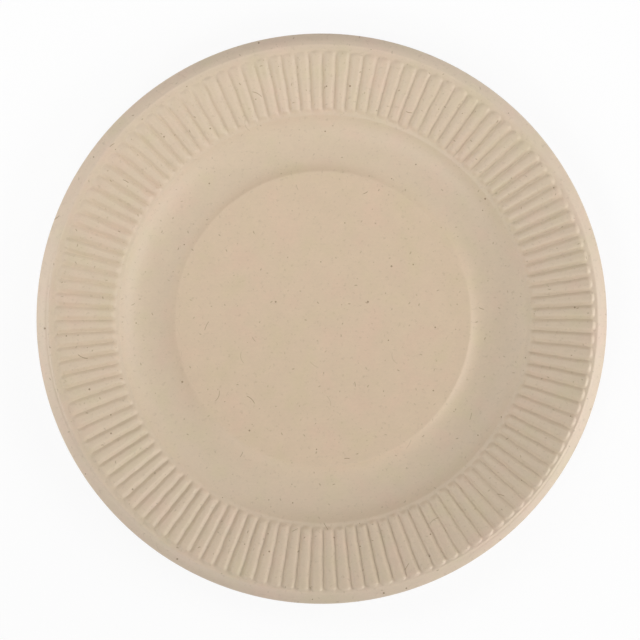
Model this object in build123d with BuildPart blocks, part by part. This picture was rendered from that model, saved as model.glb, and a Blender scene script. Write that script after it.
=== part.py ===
"""Round dinner plate pressed from one sheet of bagasse pulp, with a ribbed rim.

Sizes are in millimetres and Z points up.  The origin lies on the table, under the
middle of the plate.  The upper face of the sheet is drawn as one line from the axis
to the trimmed edge, and the sheet keeps the same thickness below that line.
"""

import os
from math import cos, hypot, radians, tan

from build123d import *

# The sheet and its trimmed edge
plate_diameter = 223.0
sheet = 0.8

# The raised middle, the hollow step down from it, and the flat ring that the plate stands on
plateau_radius = 58.0
step_radius = 12.0
step_slope = 32.0
foot_width = 1.2

# The hollow wall of the well
wall_radius = 20.4
wall_slope = 45.0

# The rim, and the lip that turns down outside it
rim_slope = 20.0
lip_width = 4.2
lip_slope = 45.0

# The ribs pressed up out of the rim: their rise, the run of their flanks and the gap between their feet
rib_count = 120
rib_height = 0.6
rib_flank = 1.0
rib_gap = 0.25
rib_inner_margin = 1.2
rib_outer_margin = 1.0

# Hollow curves are pressed as narrow conical bands, as many as this for each one
step_bands = 3
wall_bands = 6

plate_radius = plate_diameter / 2
crest_radius = plate_radius - lip_width
plateau_height = sheet + step_radius * (1 - cos(radians(step_slope)))


def banded(curve: Edge, bands: int) -> Polyline:
    """Draw a curve as straight chords, one for each conical band of the finished sheet.

    Args:
        curve: The true curve of the sheet's upper face.
        bands: How many bands it is divided into.

    Returns:
        The chain of chords from the start of the curve to its end.
    """
    return Polyline(*[curve @ (band / bands) for band in range(bands + 1)])


with BuildPart() as smooth_plate:
    with BuildSketch(Plane.XZ):
        with BuildLine():
            plateau = Line((0, plateau_height), (plateau_radius, plateau_height))
            step_start = Vector(1, 0).rotate(Axis.Z, -step_slope)
            step = JernArc(plateau @ 1, step_start, step_radius, step_slope, mode=Mode.PRIVATE)
            banded(step, step_bands)
            foot = PolarLine(step @ 1, foot_width, 0)
            wall = JernArc(foot @ 1, foot % 1, wall_radius, wall_slope, mode=Mode.PRIVATE)
            banded(wall, wall_bands)
            rim_run = crest_radius - (wall @ 1).X
            rim = PolarLine(wall @ 1, rim_run, rim_slope, length_mode=LengthMode.HORIZONTAL)
            overrun = lip_width + 2 * sheet
            PolarLine(rim @ 1, overrun, -lip_slope, length_mode=LengthMode.HORIZONTAL)
            offset(amount=sheet, kind=Kind.TANGENT, side=Side.RIGHT, closed=True)
        make_face()
        # The pressed sheet is cut off square at the plate's diameter.
        Rectangle(plate_radius, plate_radius, align=(Align.MIN, Align.MIN), mode=Mode.INTERSECT)
    revolve(axis=Axis.Z)

rim_foot = Vector((rim @ 0).X, 0, (rim @ 0).Y)
rim_rise = Vector((rim % 0).X, 0, (rim % 0).Y)
rim_plane = Plane(rim_foot, x_dir=rim_rise, z_dir=rim_rise.cross(Vector(0, 1, 0)))
half_pitch = tan(radians(180 / rib_count))
flank_rate = rib_flank / rib_height
rib_root = 0.4 * rib_gap / flank_rate
hollow_inset = sheet * rib_height / (rib_flank + hypot(rib_flank, rib_height))


def half_width(along: float) -> float:
    """Return half the width of a rib's foot at a distance up the rim's slope."""
    return (rim_foot.X + along * rim_rise.X) * half_pitch - rib_gap / 2


def pressing(depth: float, inset: float) -> Part:
    """Make one rib-shaped block, with radial sides and sloping flanks, for the pattern.

    Args:
        depth: How far the face that it rises from lies under the rim's upper face.
        inset: How much smaller it is all round than the rib itself.

    Returns:
        The block, rooted a little below that face so that it joins or cuts cleanly.
    """
    with BuildPart() as block:
        for rise in (-rib_root, rib_height):
            shrink = inset + rise * flank_rate
            inner = rib_inner_margin + shrink
            outer = rim.length - rib_outer_margin - shrink
            with BuildSketch(rim_plane.offset(rise - depth)):
                with BuildLine():
                    side = Line((inner, half_width(inner) - shrink), (outer, half_width(outer) - shrink))
                    other = mirror(side, about=Plane.XZ)
                    Line(side @ 0, other @ 0)
                    Line(side @ 1, other @ 1)
                make_face()
        loft(ruled=True)
    return block.part


rib = pressing(depth=0, inset=0)
hollow = pressing(depth=sheet, inset=hollow_inset)

# Each rib stands on the rim, and the hollow under it keeps the sheet's thickness.
with BuildPart() as plate:
    add(smooth_plate.part)
    with PolarLocations(0, rib_count):
        add(rib)
    with PolarLocations(0, rib_count):
        add(hollow, mode=Mode.SUBTRACT)

os.makedirs("parts", exist_ok=True)
plate.part.label = "plate"
export_step(plate.part, "parts/plate.step")
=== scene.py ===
"""Dressed model of a round plate pressed from one sheet of bagasse pulp.

The plate is one moulded piece, so the scene has one piece too.  It follows the solid's
own sizes, with the soft corners, the uneven ribs and the fibres of real pulp.  Sizes are
in millimetres until a mesh is made, and the frame's metres after that.
"""

import logging
from dataclasses import dataclass, field
from enum import Enum
from functools import reduce
from math import cos, pi, radians, sin, sqrt, tan, tau

import bpy
import numpy as np
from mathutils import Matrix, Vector


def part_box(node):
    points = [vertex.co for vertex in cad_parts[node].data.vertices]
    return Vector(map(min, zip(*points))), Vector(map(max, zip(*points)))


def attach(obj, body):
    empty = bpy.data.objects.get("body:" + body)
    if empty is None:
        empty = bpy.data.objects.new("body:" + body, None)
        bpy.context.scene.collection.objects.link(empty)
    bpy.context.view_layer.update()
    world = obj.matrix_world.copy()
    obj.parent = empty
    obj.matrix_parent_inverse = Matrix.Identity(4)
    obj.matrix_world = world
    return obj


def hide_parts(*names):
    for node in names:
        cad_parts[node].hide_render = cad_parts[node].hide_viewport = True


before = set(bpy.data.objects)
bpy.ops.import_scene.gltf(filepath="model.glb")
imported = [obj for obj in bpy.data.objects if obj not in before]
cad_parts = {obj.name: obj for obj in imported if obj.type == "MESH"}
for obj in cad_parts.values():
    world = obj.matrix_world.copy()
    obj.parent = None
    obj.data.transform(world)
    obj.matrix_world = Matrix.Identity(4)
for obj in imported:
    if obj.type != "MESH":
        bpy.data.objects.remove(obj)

Colour = tuple[float, float, float, float]
Span = tuple[float, float]
Triple = tuple[float, float, float]
Zone = tuple[float, float, int]
Socket = bpy.types.NodeSocket
Inputs = dict[str | int, object] | tuple[object, ...]

MM = 0.001
WHITE: Colour = (1.0, 1.0, 1.0, 1.0)
# The smooth crest lies this far under the top of the solid, which leaves room for the ribs.
CREST_DROP = 0.84
# Places of the factor and the colours among the inputs and outputs of a Mix node.
MIX_FACTOR, MIX_FIRST, MIX_SECOND, MIX_RESULT = 0, 6, 7, 2
log = logging.getLogger("bagasse_plate")


class Face(Enum):
    """The two faces of the pressed sheet."""

    UPPER = "upper"
    LOWER = "lower"


class Mark(Enum):
    """The ends of the first runs of the sheet's line, in order from the axis."""

    PLATEAU = "plateau"
    STEP = "step"
    FOOT = "foot"
    BEND = "bend"
    SHOULDER = "shoulder"
    CREST = "crest"


def smooth_ramp(value: np.ndarray) -> np.ndarray:
    """Return 0 below 0, 1 above 1 and an S-shaped rise between them."""
    part = np.clip(value, 0.0, 1.0)
    return part * part * (3.0 - 2.0 * part)


def even_angles(count: int) -> np.ndarray:
    """Return evenly spaced angles round the plate."""
    return np.arange(count) * tau / count


def new_object(name: str, data: bpy.types.ID) -> bpy.types.Object:
    """Make an object and link it to the scene.

    Args:
        name: Name of the object.
        data: Its mesh, lamp or camera.

    Returns:
        The new object.
    """
    made = bpy.data.objects.new(name, data)
    bpy.context.scene.collection.objects.link(made)
    return made


@dataclass(frozen=True)
class Ripple:
    """Slow unevenness that drying leaves in pulp, as a sum of random waves.

    Attributes:
        amplitude: Usual height of the waves.
        shortest: Shortest wavelength.
        longest: Longest wavelength.
        seed: Seed of the random waves.
        waves: How many waves are added up.
    """

    amplitude: float
    shortest: float
    longest: float
    seed: int
    waves: int = 24

    @property
    def drop(self) -> float:
        """Return how far a face is lowered so that hardly any wave rises above it."""
        return 2.0 * self.amplitude

    def at(self, x: np.ndarray, y: np.ndarray) -> np.ndarray:
        """Return the unevenness at points of the plan.

        Args:
            x: Distances along X.
            y: Distances along Y.

        Returns:
            The offset at each point.
        """
        rng = np.random.default_rng(self.seed)
        total = np.zeros(np.broadcast(x, y).shape)
        for _ in range(self.waves):
            length = rng.uniform(self.shortest, self.longest)
            heading = rng.uniform(0.0, tau)
            start = rng.uniform(0.0, tau)
            total += np.cos(tau / length * (x * cos(heading) + y * sin(heading)) + start)
        return total * self.amplitude * sqrt(2.0 / self.waves)


@dataclass
class SheetLine:
    """Line of the sheet's upper face from the axis out to the trimmed edge.

    Attributes:
        edge_radius: Radius of the trimmed edge.
        crest_height: Height of the crest of the rim.
        sheet: Thickness of the pressed sheet.
        plateau_radius: Radius of the raised flat middle.
        step_radius: Radius of the hollow step down from it.
        step_slope: Steepest slope of that step, in degrees.
        foot_width: Width of the flat ring that the plate stands on.
        wall_radius: Radius of the hollow wall of the well.
        wall_slope: Slope at the top of that wall, in degrees.
        shoulder_width: Width of the nearly level shoulder inside the crest.
        shoulder_slope: Slope of that shoulder, in degrees.
        lip_width: Width of the lip in plan.
        lip_start: Slope of the lip at the crest, in degrees.
        lip_slope: Slope of the lip at the trimmed edge, in degrees.
        overrun: Width of the run past the trimmed edge, for the lower face.
        softness: How far a pressed corner is rounded off each way.
        blur_reach: How many times that the rounding takes in.
        arc_points: Points on a short curve, half as many as on the wall.
        pitch: Distance between the samples of the line.
        marks: Distance along the line to the end of each run.
        samples: Rows of distance along the line, radius, height and slope.
    """

    edge_radius: float
    crest_height: float
    sheet: float = 0.8
    plateau_radius: float = 58.0
    step_radius: float = 12.0
    step_slope: float = 32.0
    foot_width: float = 1.2
    wall_radius: float = 20.4
    wall_slope: float = 45.0
    shoulder_width: float = 1.9
    shoulder_slope: float = 12.0
    lip_width: float = 4.2
    lip_start: float = 28.0
    lip_slope: float = 48.0
    overrun: float = 3.0
    softness: float = 0.38
    blur_reach: float = 4.0
    arc_points: int = 60
    pitch: float = 0.02
    marks: dict[Mark, float] = field(default_factory=dict, init=False)
    samples: np.ndarray = field(init=False)

    def __post_init__(self) -> None:
        """Work out the marks and the samples of the line."""
        sharp = self.sharp_line()
        lengths = np.concatenate(([0.0], np.cumsum(np.hypot(*np.diff(sharp, axis=0).T))))
        run = np.arange(0.0, lengths[-1], self.pitch)
        radius = self.soften(np.interp(run, lengths, sharp[:, 0]))
        height = self.soften(np.interp(run, lengths, sharp[:, 1]))
        slope = np.arctan2(np.gradient(height), np.gradient(radius))
        self.samples = np.stack((run, radius, height, slope))

    def sharp_line(self) -> np.ndarray:
        """Return the corners and curves of the line as pressed by a perfectly sharp mould.

        Returns:
            Points as rows of radius and height.  The marks along the line are filled in too.
        """
        step = np.radians(np.linspace(-self.step_slope, 0.0, self.arc_points))
        wall = np.radians(np.linspace(0.0, self.wall_slope, 2 * self.arc_points))
        lip = np.radians(np.linspace(-self.lip_start, -self.lip_slope, self.arc_points))
        drop = self.step_radius * (1.0 - cos(radians(self.step_slope)))
        pieces = [np.array([[0.0, self.sheet + drop], [self.plateau_radius, self.sheet + drop]])]

        def arc(turn: np.ndarray, bend: float) -> None:
            """Add a curve to the line."""
            across, up = np.sin(turn) - sin(turn[0]), cos(turn[0]) - np.cos(turn)
            pieces.append(pieces[-1][-1] + np.stack((bend * across, bend * up), axis=1))

        def straight(width: float, rise: float) -> None:
            """Add a straight run to the line."""
            pieces.append(np.array([pieces[-1][-1], pieces[-1][-1] + (width, rise)]))

        arc(step, self.step_radius)
        straight(self.foot_width, 0.0)
        arc(wall, self.wall_radius)
        bend_radius, bend_height = pieces[-1][-1]
        shoulder_rise = self.shoulder_width * tan(radians(self.shoulder_slope))
        rim_width = self.edge_radius - self.lip_width - self.shoulder_width - bend_radius
        straight(rim_width, self.crest_height - shoulder_rise - bend_height)
        straight(self.shoulder_width, shoulder_rise)
        arc(lip, self.lip_width / (sin(lip[-1]) - sin(lip[0])))
        straight(self.overrun, self.overrun * tan(lip[-1]))
        reached = 0.0
        for mark, piece in zip(Mark, pieces):
            reached += float(np.hypot(*np.diff(piece, axis=0).T).sum())
            self.marks[mark] = reached
        return np.concatenate([pieces[0]] + [piece[1:] for piece in pieces[1:]])

    def soften(self, values: np.ndarray) -> np.ndarray:
        """Round the corners off a sampled line.

        Args:
            values: One coordinate of the line at even steps along it.

        Returns:
            The same coordinate of the rounded line.
        """
        reach = int(self.blur_reach * self.softness / self.pitch)
        steps = np.arange(-reach, reach + 1) * self.pitch
        weight = np.exp(-0.5 * (steps / self.softness) ** 2)
        ahead = np.arange(1, reach + 1)
        before = values[0] - (values[1] - values[0]) * ahead[::-1]
        after = values[-1] + (values[-1] - values[-2]) * ahead
        padded = np.concatenate((before, values, after))
        return np.convolve(padded, weight / weight.sum(), mode="valid")

    def at(self, run: np.ndarray) -> tuple[np.ndarray, np.ndarray, np.ndarray]:
        """Return the radius, height and slope of the upper face at distances along the line."""
        return tuple(np.interp(run, self.samples[0], row) for row in self.samples[1:])

    def run_to(self, radius: np.ndarray) -> np.ndarray:
        """Return the distances along the line at which it reaches given radii."""
        return np.interp(radius, self.samples[1], self.samples[0])

    @property
    def rim_length(self) -> float:
        """Return the length of the rim along its slope, from the bend to the crest."""
        return self.marks[Mark.CREST] - self.marks[Mark.BEND]


@dataclass(frozen=True)
class RibPattern:
    """Ribs that are pressed up out of the rim, each with a hollow under it.

    Attributes:
        count: How many ribs stand round the rim.
        height: Rise of a rib from the rim's face.
        height_spread: Share of the rise by which the lowest ribs are lower.
        flank: Run of its rounded sides in plan.
        gap: Gap between the feet of two ribs.
        inner_margin: Distance from the bend to the ribs' inner ends.
        outer_margin: Distance from the ribs' outer ends to the crest.
        outer_lean: Direction in plan in which the ribs run out further, and by how much.
        end_flank: Run of a rib's outer end.
        end_steepening: How much shorter that is for each millimetre that the ribs run out further.
        end_bulge: How far the middle of that end stands out in plan.
        inner_fade: Length over which a rib rises at its inner end.
        camber: Share of the rise by which a rib's back is higher along its middle.
        spread: How unlike each other the ribs are at their inner ends.
        outer_share: Share of that at their outer ends.
        waviness: Unevenness of their sides.
        seed: Seed of what differs from rib to rib.
    """

    count: int = 120
    height: float = 1.1
    height_spread: float = 0.16
    flank: float = 1.7
    gap: float = 0.12
    inner_margin: float = 0.9
    outer_margin: float = 1.5
    outer_lean: Span = (0.6, -0.9)
    end_flank: float = 1.5
    end_steepening: float = 0.7
    end_bulge: float = 2.0
    inner_fade: float = 2.6
    camber: float = 0.2
    spread: float = 0.35
    outer_share: float = 0.6
    waviness: Ripple = Ripple(amplitude=0.08, shortest=4.0, longest=11.0, seed=11)
    seed: int = 5

    def hollow_inset(self, sheet: float) -> float:
        """Return how much smaller a hollow is all round than its rib, in a sheet of this thickness."""
        return sheet * self.height / (self.flank + sqrt(self.flank**2 + self.height**2))

    def lift(
        self, along: np.ndarray, reach: float, radius: np.ndarray, angles: np.ndarray, inset: float
    ) -> np.ndarray:
        """Return how far the ribs lift the sheet along one ring.

        Args:
            along: Distance of the ring up the rim's slope from the bend.
            reach: Length of that slope.
            radius: Radius of the ring at each angle.
            angles: Angles of its points, in radians.
            inset: How much smaller the ribs are all round, as seen from the hollow side.

        Returns:
            The lift at each angle, square to the rim's face.
        """
        rng = np.random.default_rng(self.seed)
        inner_shift = rng.uniform(-self.spread, self.spread, self.count)
        outer_shift = rng.uniform(-self.spread, self.spread, self.count)
        rise = self.height * (1.0 - rng.uniform(0.0, self.height_spread, self.count))
        pitch = tau / self.count
        rib = np.round(angles / pitch).astype(int)
        across = radius * (angles - rib * pitch)
        rib = rib % self.count
        across = across + self.waviness.at(radius * np.cos(angles), radius * np.sin(angles))
        half = radius * pitch / 2.0 - self.gap / 2.0 - inset
        inner = self.inner_margin + inset + inner_shift[rib]
        lean = self.outer_lean[0] * np.cos(angles) + self.outer_lean[1] * np.sin(angles)
        outer = reach - self.outer_margin - inset + lean + outer_shift[rib] * self.outer_share
        aside = np.minimum(np.abs(across) / half, 1.0)
        bulge = self.end_bulge * (1.0 - np.sqrt(1.0 - aside**2))
        side = np.clip((half - np.abs(across)) / self.flank, 0.0, 1.0)
        end_run = self.end_flank - self.end_steepening * lean
        end = np.clip((outer - along - bulge) / end_run, 0.0, 1.0)
        start = smooth_ramp((along - inner) / self.inner_fade)
        crown = 1.0 - self.camber * aside**2
        return rise[rib] * crown * start * np.sin(pi / 2.0 * side) * np.sin(pi / 2.0 * end)


@dataclass(frozen=True)
class PinchLine:
    """Line that the closing mould pressed along the crest, stronger in places.

    Attributes:
        rise: Rise of the line, below 0 where the crest is rounded off instead.
        dip: Depth of the groove just outside it.
        width: Half width of the line.
        groove: How many times as wide as the line the groove is.
        offset: Distance from the line to the groove.
        middles: Directions in which it is strong, in degrees.
        reaches: How far it stays strong to each side of them, in degrees.
        faint: Strength of the line elsewhere.
    """

    rise: float = 0.11
    dip: float = 0.18
    width: float = 0.32
    groove: float = 1.2
    offset: float = 0.95
    middles: tuple[float, ...] = (198.0, 318.0)
    reaches: tuple[float, ...] = (30.0, 20.0)
    faint: float = 0.12

    def lift(self, past: np.ndarray, angles: np.ndarray) -> np.ndarray:
        """Return how far the line lifts the sheet along one ring.

        Args:
            past: Distance of the ring outside the crest, along the sheet.
            angles: Angles of its points, in radians.

        Returns:
            The lift at each angle.
        """
        shape = self.rise * np.exp(-((past / self.width) ** 2))
        shape -= self.dip * np.exp(-(((past - self.offset) / (self.groove * self.width)) ** 2))
        strength = np.full(len(angles), self.faint)
        for middle, reach in zip(self.middles, self.reaches):
            away = (np.degrees(angles) - middle + 180.0) % 360.0 - 180.0
            strength += np.exp(-((away / reach) ** 2))
        return shape * strength


@dataclass
class RingMesh:
    """Mesh that is built ring by ring about the plate's axis.

    Attributes:
        points: Points so far.
        faces: Faces so far, as indices of the points.
        total: How many points there are so far.
        ring: Indices of the last ring's points.
        ring_angles: Their angles, in radians.
    """

    points: list[np.ndarray] = field(default_factory=list)
    faces: list[tuple[int, ...]] = field(default_factory=list)
    total: int = 0
    ring: np.ndarray | None = None
    ring_angles: np.ndarray | None = None

    def add(self, points: np.ndarray, angles: np.ndarray) -> None:
        """Add the next ring and join it to the one before.

        Args:
            points: Rows of x, y and z; a single row closes the mesh at the axis.
            angles: The rising angle of each point.
        """
        new = np.arange(self.total, self.total + len(points))
        self.points.append(points)
        self.total += len(points)
        if self.ring is not None:
            self.join(new, angles)
        self.ring = new
        self.ring_angles = angles

    def join(self, new: np.ndarray, angles: np.ndarray) -> None:
        """Make the faces between the last ring and a new one.

        Args:
            new: Indices of the new ring's points.
            angles: Their angles.
        """
        old = self.ring
        if len(old) == len(new):
            loops = (old, new, np.roll(new, -1), np.roll(old, -1))
        elif len(old) == 1:
            loops = (np.full(len(new), old[0]), new, np.roll(new, -1))
        elif len(new) == 1:
            loops = (old, np.full(len(old), new[0]), np.roll(old, -1))
        else:
            self.zip_rings(new, angles)
            return
        self.faces.extend(zip(*(loop.tolist() for loop in loops)))

    def zip_rings(self, new: np.ndarray, angles: np.ndarray) -> None:
        """Join two rings with different numbers of points by a band of triangles.

        Args:
            new: Indices of the new ring's points.
            angles: Their angles.
        """
        old_angles = np.append(self.ring_angles, self.ring_angles[0] + tau)
        new_angles = np.append(angles, angles[0] + tau)
        old = np.append(self.ring, self.ring[0]).tolist()
        fresh = np.append(new, new[0]).tolist()
        i = j = 0
        while i < len(old) - 1 or j < len(fresh) - 1:
            step_old = j == len(fresh) - 1
            if not step_old and i < len(old) - 1:
                step_old = old_angles[i + 1] <= new_angles[j + 1]
            self.faces.append((old[i], fresh[j], old[i + 1] if step_old else fresh[j + 1]))
            i, j = (i + 1, j) if step_old else (i, j + 1)

    def to_object(self, name: str) -> bpy.types.Object:
        """Make the Blender object, in metres and smoothly shaded.

        Args:
            name: Name of the object and its mesh.

        Returns:
            The new object, linked to the scene.
        """
        mesh = bpy.data.meshes.new(name)
        mesh.from_pydata((np.concatenate(self.points) * MM).tolist(), [], self.faces)
        mesh.validate()
        mesh.shade_smooth()
        return new_object(name, mesh)


@dataclass
class NodeSheet:
    """Small helper that lays out the nodes of one material or world.

    Attributes:
        tree: The node tree.
    """

    tree: bpy.types.NodeTree

    @classmethod
    def fresh(cls, owner: bpy.types.Material | bpy.types.World) -> "NodeSheet":
        """Switch a material or a world to nodes and clear them.

        Args:
            owner: The material or the world.

        Returns:
            The helper for its node tree.
        """
        owner.use_nodes = True
        owner.node_tree.nodes.clear()
        return cls(owner.node_tree)

    def new(self, kind: str, inputs: Inputs = (), **settings: object) -> bpy.types.Node:
        """Add a node.

        Args:
            kind: Blender's name for the kind of node.
            inputs: Sockets to link or plain values for its inputs, by name or in order.
            settings: Properties to set on it.

        Returns:
            The new node.
        """
        node = self.tree.nodes.new(kind)
        for key, value in settings.items():
            setattr(node, key, value)
        given = inputs if isinstance(inputs, dict) else dict(enumerate(inputs))
        for key, value in given.items():
            if isinstance(value, Socket):
                self.tree.links.new(value, node.inputs[key])
            else:
                node.inputs[key].default_value = value
        return node

    def math(self, operation: str, *values: object) -> Socket:
        """Add a Math node and return its result."""
        return self.new("ShaderNodeMath", values, operation=operation).outputs[0]

    def vector(self, operation: str, *values: object) -> Socket:
        """Add a Vector Math node and return its vector."""
        return self.new("ShaderNodeVectorMath", values, operation=operation).outputs["Vector"]

    def between(self, value: Socket, span: Span, result: Span = (0.0, 1.0)) -> Socket:
        """Map a value smoothly from one range to another and return the result."""
        smooth = {"interpolation_type": "SMOOTHSTEP", "clamp": True}
        return self.new("ShaderNodeMapRange", (value, *span, *result), **smooth).outputs[0]

    def tint(self, factor: Socket, colour: object, other: object) -> Socket:
        """Mix two colours by a factor and return the mixed colour."""
        inputs = {MIX_FACTOR: factor, MIX_FIRST: colour, MIX_SECOND: other}
        return self.new("ShaderNodeMix", inputs, data_type="RGBA").outputs[MIX_RESULT]

    def total(self, *terms: tuple[Socket, float]) -> Socket:
        """Return the sum of values, each multiplied by its weight."""
        parts = [self.math("MULTIPLY", *term) for term in terms]
        return reduce(lambda one, other: self.math("ADD", one, other), parts)

    def cells(self, where: Socket, size: float, scatter: float) -> tuple[bpy.types.Node, list[Socket]]:
        """Scatter points in plan, each with three random numbers of its own.

        Args:
            where: Place in plan.
            size: Distance between the points.
            scatter: How far they lie off an even grid, from 0 to 1.

        Returns:
            The node that finds the nearest point, and that point's numbers.
        """
        inputs = {"Vector": where, "Scale": 1.0 / size, "Randomness": scatter}
        node = self.new("ShaderNodeTexVoronoi", inputs, voronoi_dimensions="2D", feature="F1")
        dice = self.new("ShaderNodeSeparateColor", (node.outputs["Color"],))
        return node, list(dice.outputs)


@dataclass(frozen=True)
class NoiseLayer:
    """Random patches of one size in the pulp.

    Attributes:
        size: Size of the patches.
        detail: How many finer layers are added to them.
        roughness: How strongly each finer layer shows.
        place: Offset that keeps the layers apart.
        level: How strongly they show.
        relief: How strongly they stand out.
    """

    size: float
    detail: float
    roughness: float = 0.5
    place: Triple = (0.0, 0.0, 0.0)
    level: float = 0.0
    relief: float = 0.0

    def value(self, sheet: NodeSheet, where: Socket) -> Socket:
        """Return the noise at a place on the plate.

        Args:
            sheet: The material's node helper.
            where: The place.

        Returns:
            A value about 0.5.
        """
        shifted = sheet.vector("ADD", where, self.place) if any(self.place) else where
        inputs = {"Vector": shifted, "Scale": 1.0 / self.size}
        inputs |= {"Detail": self.detail, "Roughness": self.roughness}
        return sheet.new("ShaderNodeTexNoise", inputs, noise_dimensions="3D").outputs[0]


@dataclass(frozen=True)
class FibreLayer:
    """Loose curved fibres that lie scattered in the surface of the pulp.

    Attributes:
        cell: Distance between fibres.
        share: Share of the places that hold a fibre, most of them fainter than the strongest.
        half_length: Half the length of the longest fibre.
        half_width: Half its width.
        bend: How strongly it curves, per millimetre.
        strength: How strongly the strongest shows.
        place: Offset that keeps the layers apart.
        scatter: How far the fibres lie off an even grid, from 0 to 1.
        core: Share of the half width that is darkest.
        fringe: Share of the half width at which it has faded out.
        stub: Length that each fibre has, for each unit of length left to chance.
        taper: Distances from its end between which it fades out.
    """

    cell: float
    share: float
    half_length: float
    half_width: float
    bend: float
    strength: float
    place: float
    scatter: float = 0.75
    core: float = 0.3
    fringe: float = 1.6
    stub: float = 0.6
    taper: Span = (-0.5, 0.1)

    def mask(self, sheet: NodeSheet, plan: Socket) -> Socket:
        """Return where the fibres lie.

        Args:
            sheet: The material's node helper.
            plan: Place on the plate in plan.

        Returns:
            A value that is above 0 on a fibre.
        """
        place = sheet.vector("ADD", plan, (self.place, -self.place, 0.0))
        cells, dice = sheet.cells(place, self.cell, self.scatter)
        away = sheet.vector("SUBTRACT", place, cells.outputs["Position"])
        inputs = {"Vector": away, "Angle": sheet.math("MULTIPLY", dice[0], tau)}
        turned = sheet.new("ShaderNodeVectorRotate", inputs, rotation_type="Z_AXIS")
        along, across, _ = sheet.new("ShaderNodeSeparateXYZ", (turned.outputs[0],)).outputs
        bow = sheet.math("MULTIPLY", sheet.math("SUBTRACT", dice[1], 0.5), 2.0 * self.bend)
        sag = sheet.math("MULTIPLY", sheet.math("MULTIPLY", along, along), bow)
        off = sheet.math("ABSOLUTE", sheet.math("SUBTRACT", across, sag))
        fade = (self.core * self.half_width, self.fringe * self.half_width)
        side = sheet.between(off, fade, (1.0, 0.0))
        chance = sheet.math("ADD", dice[1], self.stub)
        reach = sheet.math("MULTIPLY", chance, self.half_length / (1.0 + self.stub))
        over = sheet.math("SUBTRACT", sheet.math("ABSOLUTE", along), reach)
        end = sheet.between(over, self.taper, (1.0, 0.0))
        there = sheet.between(dice[2], (0.0, self.share), (1.0, 0.0))
        shown = sheet.math("MULTIPLY", sheet.math("MULTIPLY", side, end), there)
        return sheet.math("MULTIPLY", shown, self.strength)


@dataclass(frozen=True)
class SpeckLayer:
    """Round dark specks in the surface of the pulp.

    Attributes:
        cell: Distance between specks.
        size: Radius of the largest, as a share of that.
        rarity: How much rarer large specks are than small ones.
        blur: Half width of their edges, as a share of that distance.
        strength: How strongly they show.
    """

    cell: float = 9.0
    size: float = 0.045
    rarity: float = 6.0
    blur: float = 0.012
    strength: float = 0.85

    def mask(self, sheet: NodeSheet, plan: Socket) -> Socket:
        """Return where the specks lie.

        Args:
            sheet: The material's node helper.
            plan: Place on the plate in plan.

        Returns:
            A value that is above 0 on a speck.
        """
        cells, dice = sheet.cells(plan, self.cell, 1.0)
        radius = sheet.math("MULTIPLY", sheet.math("POWER", dice[0], self.rarity), self.size)
        far = sheet.math("SUBTRACT", cells.outputs["Distance"], radius)
        inside = sheet.between(far, (-self.blur, self.blur), (1.0, 0.0))
        return sheet.math("MULTIPLY", inside, self.strength)


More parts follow.
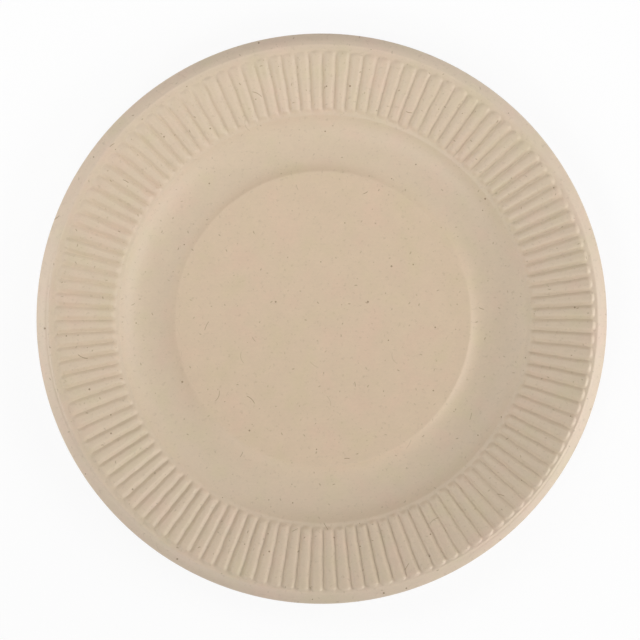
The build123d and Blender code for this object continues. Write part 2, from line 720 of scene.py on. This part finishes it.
@dataclass(frozen=True)
class PulpFinish:
    """Satin unbleached bagasse pulp: mottled, streaked with fibres and specked.

    A span has the radii, or the values of a noise, between which something sets in.

    Attributes:
        name: Name of the material.
        colour: Usual colour of the pulp.
        rosy: Colour of its pinker patches.
        straw: Colour of its yellower patches.
        bark: Colour of dark fibres and specks.
        well_tone_and_sheen: What the colour is multiplied by outside the raised middle, paler and
            bluer: partly the pulp's own tone there, partly painted sheen of the sloping faces.
        well_span: Span of that.
        lip_painted_sheen: The same on the lip, made paler and whiter still: painted sheen of the lip's
            steep slope.
        lip_span: Span of that.
        roughness: How matt the face is, from its smoother clouds to its rougher ones.
        gloss: Level of its weak surface reflection.
        patches: Rosy and straw patches.
        rosy_span: Span of the rosy ones.
        straw_span: Span of the straw ones.
        cloud: Brighter and darker clouds.
        cloud_span: Span of the roughness.
        grain: Fine grain.
        streak: Noise that is drawn out into short streaks.
        streak_turns: Directions of the streaks in plan, in degrees, each with its weight.
        streak_stretch: How far they are drawn out.
        smudge: Faint smudges.
        smudge_span: Span of the smudges.
        specks: Dark specks.
        hairs: Long, short and fine fibres.
        relief_strength: Share of the relief that shows.
        relief_depth: Depth of the relief.
    """

    name: str = "bagasse_pulp"
    colour: Colour = (0.612, 0.480, 0.346, 1.0)
    rosy: Colour = (0.627, 0.474, 0.348, 1.0)
    straw: Colour = (0.599, 0.482, 0.333, 1.0)
    bark: Colour = (0.25, 0.17, 0.10, 1.0)
    well_tone_and_sheen: Colour = (0.972, 1.0, 1.025, 1.0)
    well_span: Span = (55.0, 66.0)
    lip_painted_sheen: Colour = (1.01, 1.045, 1.11, 1.0)
    lip_span: Span = (105.0, 107.6)
    roughness: Span = (0.41, 0.51)
    gloss: float = 0.44
    patches: NoiseLayer = NoiseLayer(13.0, detail=3.0)
    rosy_span: Span = (0.5, 0.72)
    straw_span: Span = (0.5, 0.28)
    cloud: NoiseLayer = NoiseLayer(6.0, detail=4.0, roughness=0.6, place=(70.0, 20.0, 5.0), level=0.10)
    cloud_span: Span = (0.3, 0.7)
    grain: NoiseLayer = NoiseLayer(0.8, detail=3.0, roughness=0.6, level=0.05, relief=0.6)
    streak: NoiseLayer = NoiseLayer(0.55, detail=1.0, level=0.035, relief=0.25)
    streak_turns: tuple[Span, ...] = ((4.0, 1.4), (-38.0, 1.0), (62.0, 1.0))
    streak_stretch: float = 6.0
    smudge: NoiseLayer = NoiseLayer(1.7, detail=2.0, roughness=0.6, place=(11.0, 33.0, 0.0), level=0.2)
    smudge_span: Span = (0.58, 0.76)
    specks: SpeckLayer = SpeckLayer()
    hairs: tuple[FibreLayer, ...] = (
        FibreLayer(15.0, 0.22, half_length=2.6, half_width=0.14, bend=0.16, strength=0.8, place=3.7),
        FibreLayer(6.5, 0.75, half_length=0.75, half_width=0.2, bend=0.3, strength=0.62, place=41.3),
        FibreLayer(3.2, 0.6, half_length=0.55, half_width=0.22, bend=0.4, strength=0.18, place=17.9),
    )
    relief_strength: float = 0.5
    relief_depth: float = 0.05

    def material(self) -> bpy.types.Material:
        """Make the material.

        Returns:
            The new material, all of it from nodes.
        """
        made = bpy.data.materials.new(self.name)
        sheet = NodeSheet.fresh(made)
        metres = sheet.new("ShaderNodeTexCoord").outputs["Object"]
        place = sheet.vector("MULTIPLY", metres, (1.0 / MM, 1.0 / MM, 1.0 / MM))
        plan = sheet.vector("MULTIPLY", place, (1.0, 1.0, 0.0))
        patches = self.patches.value(sheet, place)
        cloud = self.cloud.value(sheet, place)
        grain = self.grain.value(sheet, place)
        streaks = self.streaks(sheet, place)

        colour = sheet.tint(sheet.between(patches, self.rosy_span), self.colour, self.rosy)
        colour = sheet.tint(sheet.between(patches, self.straw_span), colour, self.straw)
        level = sheet.total(
            (cloud, self.cloud.level), (grain, self.grain.level), (streaks, self.streak.level)
        )
        # Each noise is usually 0.5, and the brightness is usually 1.
        streak_level = self.streak.level * sum(weight for _, weight in self.streak_turns)
        usual = 0.5 * (self.cloud.level + self.grain.level + streak_level)
        colour = sheet.vector("MULTIPLY", colour, sheet.math("ADD", level, 1.0 - usual))
        out = sheet.new("ShaderNodeVectorMath", (plan,), operation="LENGTH").outputs["Value"]
        # Outside the raised middle the colour turns paler and bluer: partly the pulp's own tone, partly
        # painted sheen of the sloping faces.
        shade = sheet.tint(sheet.between(out, self.well_span), WHITE, self.well_tone_and_sheen)
        # On the lip the colour turns paler and whiter still: painted sheen of the steep lip.
        shade = sheet.tint(sheet.between(out, self.lip_span), shade, self.lip_painted_sheen)
        colour = sheet.vector("MULTIPLY", colour, shade)

        relief = {
            "Strength": self.relief_strength,
            "Distance": self.relief_depth * MM,
            "Height": sheet.total((grain, self.grain.relief), (streaks, self.streak.relief)),
        }
        inputs = {
            "Base Color": sheet.tint(self.dark(sheet, plan), colour, self.bark),
            "Roughness": sheet.between(cloud, self.cloud_span, self.roughness),
            "Specular IOR Level": self.gloss,
            "Normal": sheet.new("ShaderNodeBump", relief).outputs[0],
        }
        shader = sheet.new("ShaderNodeBsdfPrincipled", inputs)
        sheet.new("ShaderNodeOutputMaterial", {"Surface": shader.outputs[0]})
        return made

    def streaks(self, sheet: NodeSheet, place: Socket) -> Socket:
        """Return short streaks in several directions.

        Args:
            sheet: The material's node helper.
            place: Place on the plate.

        Returns:
            The weighted sum of their values.
        """
        drawn = []
        for turn, weight in self.streak_turns:
            scale = (self.streak_stretch, 1.0, 1.0)
            inputs = {"Vector": place, "Rotation": (0.0, 0.0, radians(turn)), "Scale": scale}
            mapping = sheet.new("ShaderNodeMapping", inputs, vector_type="TEXTURE")
            drawn.append((self.streak.value(sheet, mapping.outputs[0]), weight))
        return sheet.total(*drawn)

    def dark(self, sheet: NodeSheet, plan: Socket) -> Socket:
        """Return where specks, fibres and smudges darken the pulp.

        Args:
            sheet: The material's node helper.
            plan: Place on the plate in plan.

        Returns:
            A value that is above 0 on each of them.
        """
        smudges = self.smudge.value(sheet, plan)
        dark = sheet.between(smudges, self.smudge_span, (0.0, self.smudge.level))
        for layer in (self.specks, *self.hairs):
            dark = sheet.math("MAXIMUM", dark, layer.mask(sheet, plan))
        return dark


@dataclass(frozen=True)
class Divisions:
    """How finely one face of the sheet is divided into rings and columns.

    A zone has its distances from the marks at its two ends, and its number of rings.
    Steps have the first and the last distance from one mark, and the pitch.

    Attributes:
        half_rib: Places of the columns in half a rib, from its middle to the groove.
        middle_columns: Columns of the raised middle.
        well_columns: Columns of the step, the foot and the wall.
        middle: Zone from the axis to the raised middle's corner.
        corner: Steps over that corner.
        step: Zone from the corner to the foot.
        wall: Zone from the foot to the bend.
        bend: Steps over the bend.
        inner_ends: Steps out from the bend.
        ribs: Zone from the bend to the crest.
        outer_ends: Steps back from the crest.
        crest: Steps over the crest.
        lip_rings: Rings from there to the edge.
    """

    half_rib: tuple[float, ...] = (0.0, 0.32, 0.50, 0.64, 0.78, 0.90, 1.0)
    middle_columns: int = 240
    well_columns: int = 360
    middle: Zone = (5.0, -2.0, 10)
    corner: Triple = (-1.2, 1.4, 0.24)
    step: Zone = (1.6, 0.0, 9)
    wall: Zone = (0.8, -1.2, 14)
    bend: Triple = (-0.9, 0.4, 0.22)
    inner_ends: Triple = (0.5, 3.6, 0.6)
    ribs: Zone = (4.3, -4.0, 12)
    outer_ends: Triple = (0.5, 3.5, 0.3)
    crest: Triple = (-0.3, 2.0, 0.2)
    lip_rings: int = 5


@dataclass
class Plate:
    """The whole plate: one pressed sheet with a raised middle, a well, ribs and a lip.

    Attributes:
        line: Line of the upper face.
        ribs: Ribs of the rim.
        pinch: Pinched line along the crest.
        rounded: Part of the crest that came out rounder.
        finish: What the sheet is made of.
        drift: Slow unevenness of the whole sheet.
        settle: Distance from the foot over which that sets in.
        trim_shift: How far the pressing lies off the middle of the trimmed edge, in plan.
        edge_columns: Columns of the crest, the lip and the edge.
        edge_inset: Distance from the last ring of a face to the edge.
        edge_shares: Places of the edge's own rings, as shares of its height.
        first_lip_share: Place of the lip's first ring, as a share of the way to the edge.
        upper: Divisions of the upper face.
        lower: Divisions of the lower face, which is coarser.
        piece: The plate's object, once it is built.
    """

    line: SheetLine
    ribs: RibPattern = RibPattern()
    pinch: PinchLine = PinchLine()
    rounded: PinchLine = PinchLine(
        rise=-0.3, dip=0.0, width=1.5, middles=(95.0,), reaches=(50.0,), faint=0.0
    )
    finish: PulpFinish = PulpFinish()
    drift: Ripple = Ripple(amplitude=0.03, shortest=25.0, longest=70.0, seed=3)
    settle: float = 12.0
    trim_shift: Span = (0.55, -0.1)
    edge_columns: int = 720
    edge_inset: float = 0.12
    edge_shares: tuple[float, ...] = (0.1, 0.5, 0.9)
    first_lip_share: float = 0.2
    upper: Divisions = Divisions()
    lower: Divisions = Divisions(
        half_rib=(0.0, 0.36, 0.62, 0.84, 1.0),
        middle_columns=120,
        well_columns=240,
        middle=(5.0, -2.0, 6),
        corner=(-1.2, 1.4, 0.6),
        step=(1.6, 0.0, 5),
        wall=(0.8, -1.2, 8),
        bend=(-0.9, 0.4, 0.6),
        ribs=(4.3, -4.0, 7),
        outer_ends=(0.6, 3.6, 0.6),
        crest=(-0.3, 2.0, 0.8),
        lip_rings=3,
    )
    piece: bpy.types.Object | None = None

    def columns(self, half_rib: tuple[float, ...]) -> np.ndarray:
        """Return the angles of the columns that follow the ribs.

        Args:
            half_rib: Places of the columns in half a rib.

        Returns:
            The angles all round the plate.
        """
        half = np.array(half_rib)
        one = np.concatenate((-half[:0:-1][1:], half)) * pi / self.ribs.count
        return (even_angles(self.ribs.count)[:, None] + one[None, :]).ravel()

    def edge_runs(self, face: Face, angles: np.ndarray) -> np.ndarray:
        """Return how far along the line the sheet is cut off, in each direction from its middle.

        Args:
            face: The face that is cut.
            angles: The directions, in radians.

        Returns:
            The distance along the line at each of them.
        """
        under = self.line.sheet * sin(radians(self.line.lip_slope)) if face is Face.LOWER else 0.0
        aside = self.trim_shift[0] * np.cos(angles) + self.trim_shift[1] * np.sin(angles)
        across = self.trim_shift[0] * np.sin(angles) - self.trim_shift[1] * np.cos(angles)
        return self.line.run_to(np.sqrt(self.line.edge_radius**2 - across**2) - aside + under)

    def rings(self, face: Face) -> list[tuple[np.ndarray, np.ndarray]]:
        """Return the rings of one face, from the middle outwards.

        Args:
            face: The face to divide.

        Returns:
            For each ring, the distance along the line and the angle of each point.
        """
        cut = self.upper if face is Face.UPPER else self.lower
        plateau, foot, bend, crest = (
            self.line.marks[mark] for mark in (Mark.PLATEAU, Mark.FOOT, Mark.BEND, Mark.CREST)
        )

        def zone(start: float, end: float, limits: Zone) -> np.ndarray:
            """Return the runs of a zone's rings between two marks."""
            return np.linspace(start + limits[0], end + limits[1], limits[2])

        well = (
            plateau + np.arange(*cut.corner),
            zone(plateau, foot, cut.step),
            zone(foot, bend, cut.wall),
            bend + np.arange(*cut.bend),
        )
        rim = self.line.rim_length
        outer_ends = rim - np.arange(*cut.outer_ends)[::-1]
        ribbed = (np.arange(*cut.inner_ends), zone(0.0, rim, cut.ribs), outer_ends)
        groups = (
            (zone(0.0, plateau, cut.middle), even_angles(cut.middle_columns)),
            (np.concatenate(well), even_angles(cut.well_columns)),
            (np.concatenate(ribbed) + bend, self.columns(cut.half_rib)),
            (crest + np.arange(*cut.crest), even_angles(self.edge_columns)),
        )
        made = [(np.full(len(angles), run), angles) for runs, angles in groups for run in runs]
        angles = even_angles(self.edge_columns)
        start = crest + cut.crest[1]
        width = self.edge_runs(face, angles) - self.edge_inset - start
        for share in np.linspace(self.first_lip_share, 1.0, cut.lip_rings):
            made.append((start + share * width, angles))
        return made

    def ring_points(self, face: Face, run: np.ndarray, angles: np.ndarray) -> np.ndarray:
        """Return the points of one ring on one face.

        Args:
            face: The face that the ring lies on.
            run: Distance of each point along the line.
            angles: Angles of the points.

        Returns:
            Rows of x, y and z.
        """
        bend, crest = self.line.marks[Mark.BEND], self.line.marks[Mark.CREST]
        radius, height, slope = self.line.at(run)
        across, up = -np.sin(slope), np.cos(slope)
        inset = 0.0
        if face is Face.LOWER:
            radius = radius - across * self.line.sheet
            height = height - up * self.line.sheet
            inset = self.ribs.hollow_inset(self.line.sheet)
        lift = self.pinch.lift(run - crest, angles) + self.rounded.lift(run - crest, angles)
        if bend < run[0] < crest:
            lift += self.ribs.lift(run - bend, self.line.rim_length, radius, angles, inset)
        reach = radius + across * lift
        x = reach * np.cos(angles) + self.trim_shift[0]
        y = reach * np.sin(angles) + self.trim_shift[1]
        settled = smooth_ramp(np.abs(run - self.line.marks[Mark.FOOT]) / self.settle)
        z = height + up * lift + (self.drift.at(x, y) - self.drift.drop) * settled
        return np.stack((x, y, z), axis=1)

    def build(self) -> bpy.types.Object:
        """Make the plate's mesh, upper face first and then round the edge to the lower one.

        Returns:
            The plate, riding on the body that the solid belongs to.
        """
        mesh = RingMesh()
        start = float(self.line.at(np.zeros(1))[1][0])
        mesh.add(np.array([[*self.trim_shift, start - self.drift.drop]]), np.zeros(1))
        for run, angles in self.rings(Face.UPPER):
            mesh.add(self.ring_points(Face.UPPER, run, angles), angles)
        self.add_edge(mesh)
        for run, angles in reversed(self.rings(Face.LOWER)):
            mesh.add(self.ring_points(Face.LOWER, run, angles), angles)
        low = start - self.line.sheet
        mesh.add(np.array([[*self.trim_shift, low - self.drift.drop]]), np.zeros(1))
        self.piece = mesh.to_object("plate_pulp")
        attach(self.piece, "root")
        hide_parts("plate")
        return self.piece

    def add_edge(self, mesh: RingMesh) -> None:
        """Add the trimmed edge, with its corners just broken, to the mesh.

        Args:
            mesh: The mesh, which has reached the edge.
        """
        angles = even_angles(self.edge_columns)
        radius, height, slope = self.line.at(self.edge_runs(Face.UPPER, angles))
        x = radius * np.cos(angles) + self.trim_shift[0]
        y = radius * np.sin(angles) + self.trim_shift[1]
        settled = self.drift.at(x, y) - self.drift.drop
        cut = self.line.sheet / np.cos(slope)
        for share in self.edge_shares:
            mesh.add(np.stack((x, y, height + settled - share * cut), axis=1), angles)

    def dress(self) -> None:
        """Give the plate its pulp finish."""
        self.piece.data.materials.clear()
        self.piece.data.materials.append(self.finish.material())


@dataclass(frozen=True)
class Softbox:
    """A soft studio lamp that looks at the plate.

    Attributes:
        name: Name of the lamp.
        azimuth: Direction that it stands in, in degrees from the right of the picture.
        elevation: Its height above the table, in degrees.
        power: Its power in watts.
        size: Width of its square face, in metres.
        distance: Its distance from the plate, in metres.
    """

    name: str
    azimuth: float
    elevation: float
    power: float
    size: float = 0.4
    distance: float = 0.8

    def build(self) -> None:
        """Make the lamp and turn it towards the plate."""
        lamp = bpy.data.lights.new(self.name, "AREA")
        lamp.energy = self.power
        lamp.shape = "SQUARE"
        lamp.size = self.size
        stand = new_object(self.name, lamp)
        turn, lift = radians(self.azimuth), radians(self.elevation)
        heading = Vector((cos(turn) * cos(lift), sin(turn) * cos(lift), sin(lift)))
        stand.location = heading * self.distance
        stand.rotation_euler = heading.to_track_quat("Z", "Y").to_euler()


@dataclass
class Studio:
    """Pale floor, soft lamps, pale surroundings and a camera straight above the plate.

    Attributes:
        lamps: The soft lamps.
        glow: Strength of the even light from all round.
        floor_colour: Colour of the floor.
        floor_white: How much of the floor's colour in the picture is plain white.
        floor_reach: Half the width of the floor, in metres.
        sensor: Width of the camera's sensor.
        clip_end: How far the camera sees, in metres.
        view_width: Width of the picture at the height of the plate's edge.
        view_height: Height of the camera above the table, in metres.
        view_roll: Turn of the camera about its line of sight, in degrees.
        view_place: Where the camera stands in plan.
        aim_height: Height that the width of the picture is taken at.
    """

    lamps: tuple[Softbox, ...] = (
        Softbox("key_lamp", azimuth=330.0, elevation=25.0, power=2.40),
        Softbox("right_lamp", azimuth=0.0, elevation=25.0, power=2.35),
        Softbox("left_lamp", azimuth=180.0, elevation=15.0, power=1.88),
        Softbox("low_lamp", azimuth=60.0, elevation=15.0, power=0.88),
        Softbox("upper_left_lamp", azimuth=150.0, elevation=50.0, power=0.325, size=0.2, distance=0.35),
        Softbox("upper_right_lamp", azimuth=60.0, elevation=50.0, power=0.178, size=0.2, distance=0.35),
        Softbox("fill_lamp", azimuth=240.0, elevation=40.0, power=19.9, size=1.2, distance=2.5),
    )
    glow: float = 0.08
    floor_colour: Colour = (0.9, 0.9, 0.9, 1.0)
    floor_white: float = 0.9
    floor_reach: float = 3.0
    sensor: float = 36.0
    clip_end: float = 20.0
    view_width: float = 250.2
    view_height: float = 3.0
    view_roll: float = 1.41
    view_place: Span = (-0.61, -0.54)
    aim_height: float = 12.9

    def build_floor(self) -> None:
        """Make the plain pale floor."""
        mesh = bpy.data.meshes.new("floor")
        far = self.floor_reach
        corners = [(-far, -far, 0.0), (far, -far, 0.0), (far, far, 0.0), (-far, far, 0.0)]
        mesh.from_pydata(corners, [], [(0, 1, 2, 3)])
        floor = new_object("floor", mesh)
        floor.data.materials.append(self.floor_material())

    def floor_material(self) -> bpy.types.Material:
        """Make the floor's finish, which looks nearly white in the picture and keeps the shadow.

        Returns:
            The new material.
        """
        made = bpy.data.materials.new("pale_floor")
        sheet = NodeSheet.fresh(made)
        matt = sheet.new("ShaderNodeBsdfDiffuse", {"Color": self.floor_colour})
        white = sheet.new("ShaderNodeEmission", {"Color": WHITE, "Strength": 1.0})
        seen = sheet.math("MULTIPLY", self.seen(sheet), self.floor_white)
        blend = sheet.new("ShaderNodeMixShader", (seen, matt.outputs[0], white.outputs[0]))
        sheet.new("ShaderNodeOutputMaterial", {"Surface": blend.outputs[0]})
        return made

    def seen(self, sheet: NodeSheet) -> Socket:
        """Return 1 for rays that show the surroundings directly, in gloss or through glass.

        Args:
            sheet: The node helper to use.

        Returns:
            A value that is 0 for other rays.
        """
        path = sheet.new("ShaderNodeLightPath")
        direct = sheet.math("MAXIMUM", path.outputs["Is Camera Ray"], path.outputs["Is Glossy Ray"])
        return sheet.math("MAXIMUM", direct, path.outputs["Is Transmission Ray"])

    def build_surroundings(self) -> None:
        """Make the even light from all round, which looks white in the picture."""
        world = bpy.data.worlds.new("pale_surroundings")
        bpy.context.scene.world = world
        sheet = NodeSheet.fresh(world)
        strength = sheet.between(self.seen(sheet), (0.0, 1.0), (self.glow, 1.0))
        even = sheet.new("ShaderNodeBackground", {"Color": WHITE, "Strength": strength})
        sheet.new("ShaderNodeOutputWorld", {"Surface": even.outputs[0]})

    def build_camera(self) -> None:
        """Make the camera that looks straight down at the plate."""
        data = bpy.data.cameras.new("camera")
        data.sensor_width = self.sensor
        data.lens = self.sensor * (self.view_height - self.aim_height * MM) / (self.view_width * MM)
        data.clip_end = self.clip_end
        camera = new_object("camera", data)
        camera.location = (self.view_place[0] * MM, self.view_place[1] * MM, self.view_height)
        camera.rotation_euler = (0.0, 0.0, radians(self.view_roll))
        bpy.context.scene.camera = camera

    def build(self) -> None:
        """Set up the floor, the lamps, the surroundings, the camera and the view settings."""
        self.build_floor()
        for lamp in self.lamps:
            lamp.build()
        self.build_surroundings()
        self.build_camera()
        bpy.context.scene.view_settings.view_transform = "Standard"


def main() -> None:
    """Build the plate and the studio, and report each piece."""
    logging.basicConfig(level=logging.INFO, format="%(name)s: %(message)s")
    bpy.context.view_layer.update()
    low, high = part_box("plate")
    line = SheetLine(edge_radius=(high.x - low.x) / 2.0 / MM, crest_height=high.z / MM - CREST_DROP)
    plate = Plate(line)
    piece = plate.build()
    plate.dress()
    piece.data.calc_loop_triangles()
    log.info("%s: %d triangles", piece.name, len(piece.data.loop_triangles))
    studio = Studio()
    studio.build()
    log.info("studio: %d lamps", len(studio.lamps))


if __name__ == "__main__":
    main()
